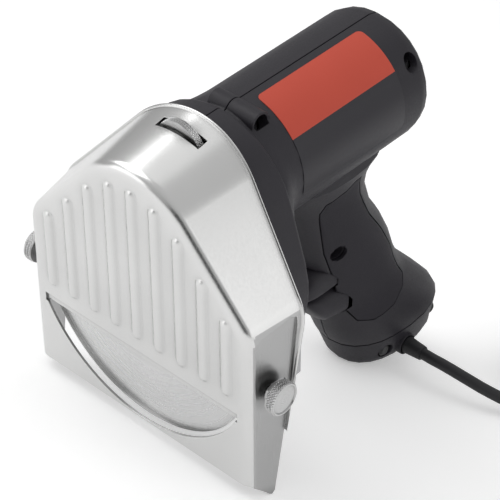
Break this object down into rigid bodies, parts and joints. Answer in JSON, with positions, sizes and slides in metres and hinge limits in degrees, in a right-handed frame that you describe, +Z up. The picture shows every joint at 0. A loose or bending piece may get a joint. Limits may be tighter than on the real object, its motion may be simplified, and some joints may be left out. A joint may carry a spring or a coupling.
{
  "type": "electric kebab slicer",
  "caption": "Hand-held electric slicer for meat on a spit: a round blade behind a ribbed steel cover, driven by a belt from a motor in a pistol-grip housing with a trigger.",
  "frame": {"origin": "bottom centre of the tool's own box, without its lead, on the surface that it stands on", "axes": "+X to the tool's right hand side, +Y from the ribbed cover towards the motor and handle, +Z up; the tool leans forward on its cover's lower corners and its foot"},
  "size_m": [0.173, 0.2988, 0.1531],
  "materials": {
    "brushed_steel": "satin pressed stainless steel",
    "blade_steel": "ground stainless steel",
    "plated_steel": "zinc plated",
    "cast_alloy": "as cast and machined",
    "charcoal_plastic": "fine moulded texture",
    "soft_grip": "matt soft touch",
    "black_rubber": "matt flexible sheath"
  },
  "bodies": {
    "housing": {"adjusting_screw": "plated_steel", "side_bracket_left": "plated_steel", "grip_panel_left": "soft_grip", "side_bracket_right": "plated_steel", "grip_panel_right": "soft_grip", "bearing_front": "plated_steel", "bearing_rear": "plated_steel", "bearing_housing": "cast_alloy", "chassis_plate": "cast_alloy", "chassis_screw_1": "plated_steel", "chassis_screw_2": "plated_steel", "chassis_screw_3": "plated_steel", "chassis_screw_4": "plated_steel", "drive_belt": "black_rubber", "motor_can": "plated_steel", "motor_end_cap": "charcoal_plastic", "housing_left": "charcoal_plastic", "housing_right": "charcoal_plastic", "switch_body": "charcoal_plastic", "foot_cap": "charcoal_plastic", "cord_grommet": "black_rubber", "housing_screw_top": "plated_steel", "housing_screw_rear": "plated_steel", "housing_screw_grip": "plated_steel", "foot_screw_front": "plated_steel", "foot_screw_rear": "plated_steel", "cord": "black_rubber", "cord_coil": "black_rubber", "cord_tail": "black_rubber", "coil_tie": "soft_grip", "plug": "black_rubber"},
    "cover_unit": {"cover": "brushed_steel", "wheel_fork": "plated_steel"},
    "thumbwheel": {"thumbwheel": "brushed_steel"},
    "blade_unit": {"blade": "blade_steel", "blade_screw": "plated_steel", "blade_spindle": "plated_steel", "blade_pulley": "cast_alloy"},
    "motor_rotor": {"motor_shaft": "plated_steel", "motor_pulley": "cast_alloy"},
    "clamp_left": {"clamp_knob_left": "brushed_steel"},
    "clamp_right": {"clamp_knob_right": "brushed_steel"},
    "trigger": {"trigger": "charcoal_plastic"}
  },
  "joints": [
    {"name": "cover_slide", "type": "slide", "parent": "housing", "child": "cover_unit", "axis": [0, -0.9381, -0.3464], "range_m": [0, 0.005]},
    {"name": "thumbwheel_turn", "type": "hinge", "parent": "cover_unit", "child": "thumbwheel", "pos_m": [0, -0.07833, 0.11469], "axis": [0, -0.9381, -0.3464], "range_deg": [0, 900]},
    {"name": "blade_spin", "type": "hinge", "parent": "housing", "child": "blade_unit", "pos_m": [0, -0.07693, 0.05317], "axis": [0, 0.9381, 0.3464], "continuous": true},
    {"name": "motor_spin", "type": "hinge", "parent": "housing", "child": "motor_rotor", "pos_m": [0, -0.06123, 0.09841], "axis": [0, 0.9381, 0.3464], "continuous": true},
    {"name": "clamp_left_turn", "type": "hinge", "parent": "housing", "child": "clamp_left", "pos_m": [-0.0549, -0.06861, 0.04739], "axis": [-1, 0, 0], "range_deg": [0, 360]},
    {"name": "clamp_right_turn", "type": "hinge", "parent": "housing", "child": "clamp_right", "pos_m": [0.0549, -0.06861, 0.04739], "axis": [1, 0, 0], "range_deg": [0, 360]},
    {"name": "trigger_pull", "type": "slide", "parent": "housing", "child": "trigger", "axis": [0, 0.9381, 0.3464], "range_m": [0, 0.005], "stiffness_N_per_m": 600, "springref_m": -0.002}
  ],
  "couplings": [
    {"joint": "motor_spin", "follows": "blade_spin", "ratio": 4.0714},
    {"joint": "thumbwheel_turn", "follows": "cover_slide", "rad_per_m": 3141.6}
  ]
}
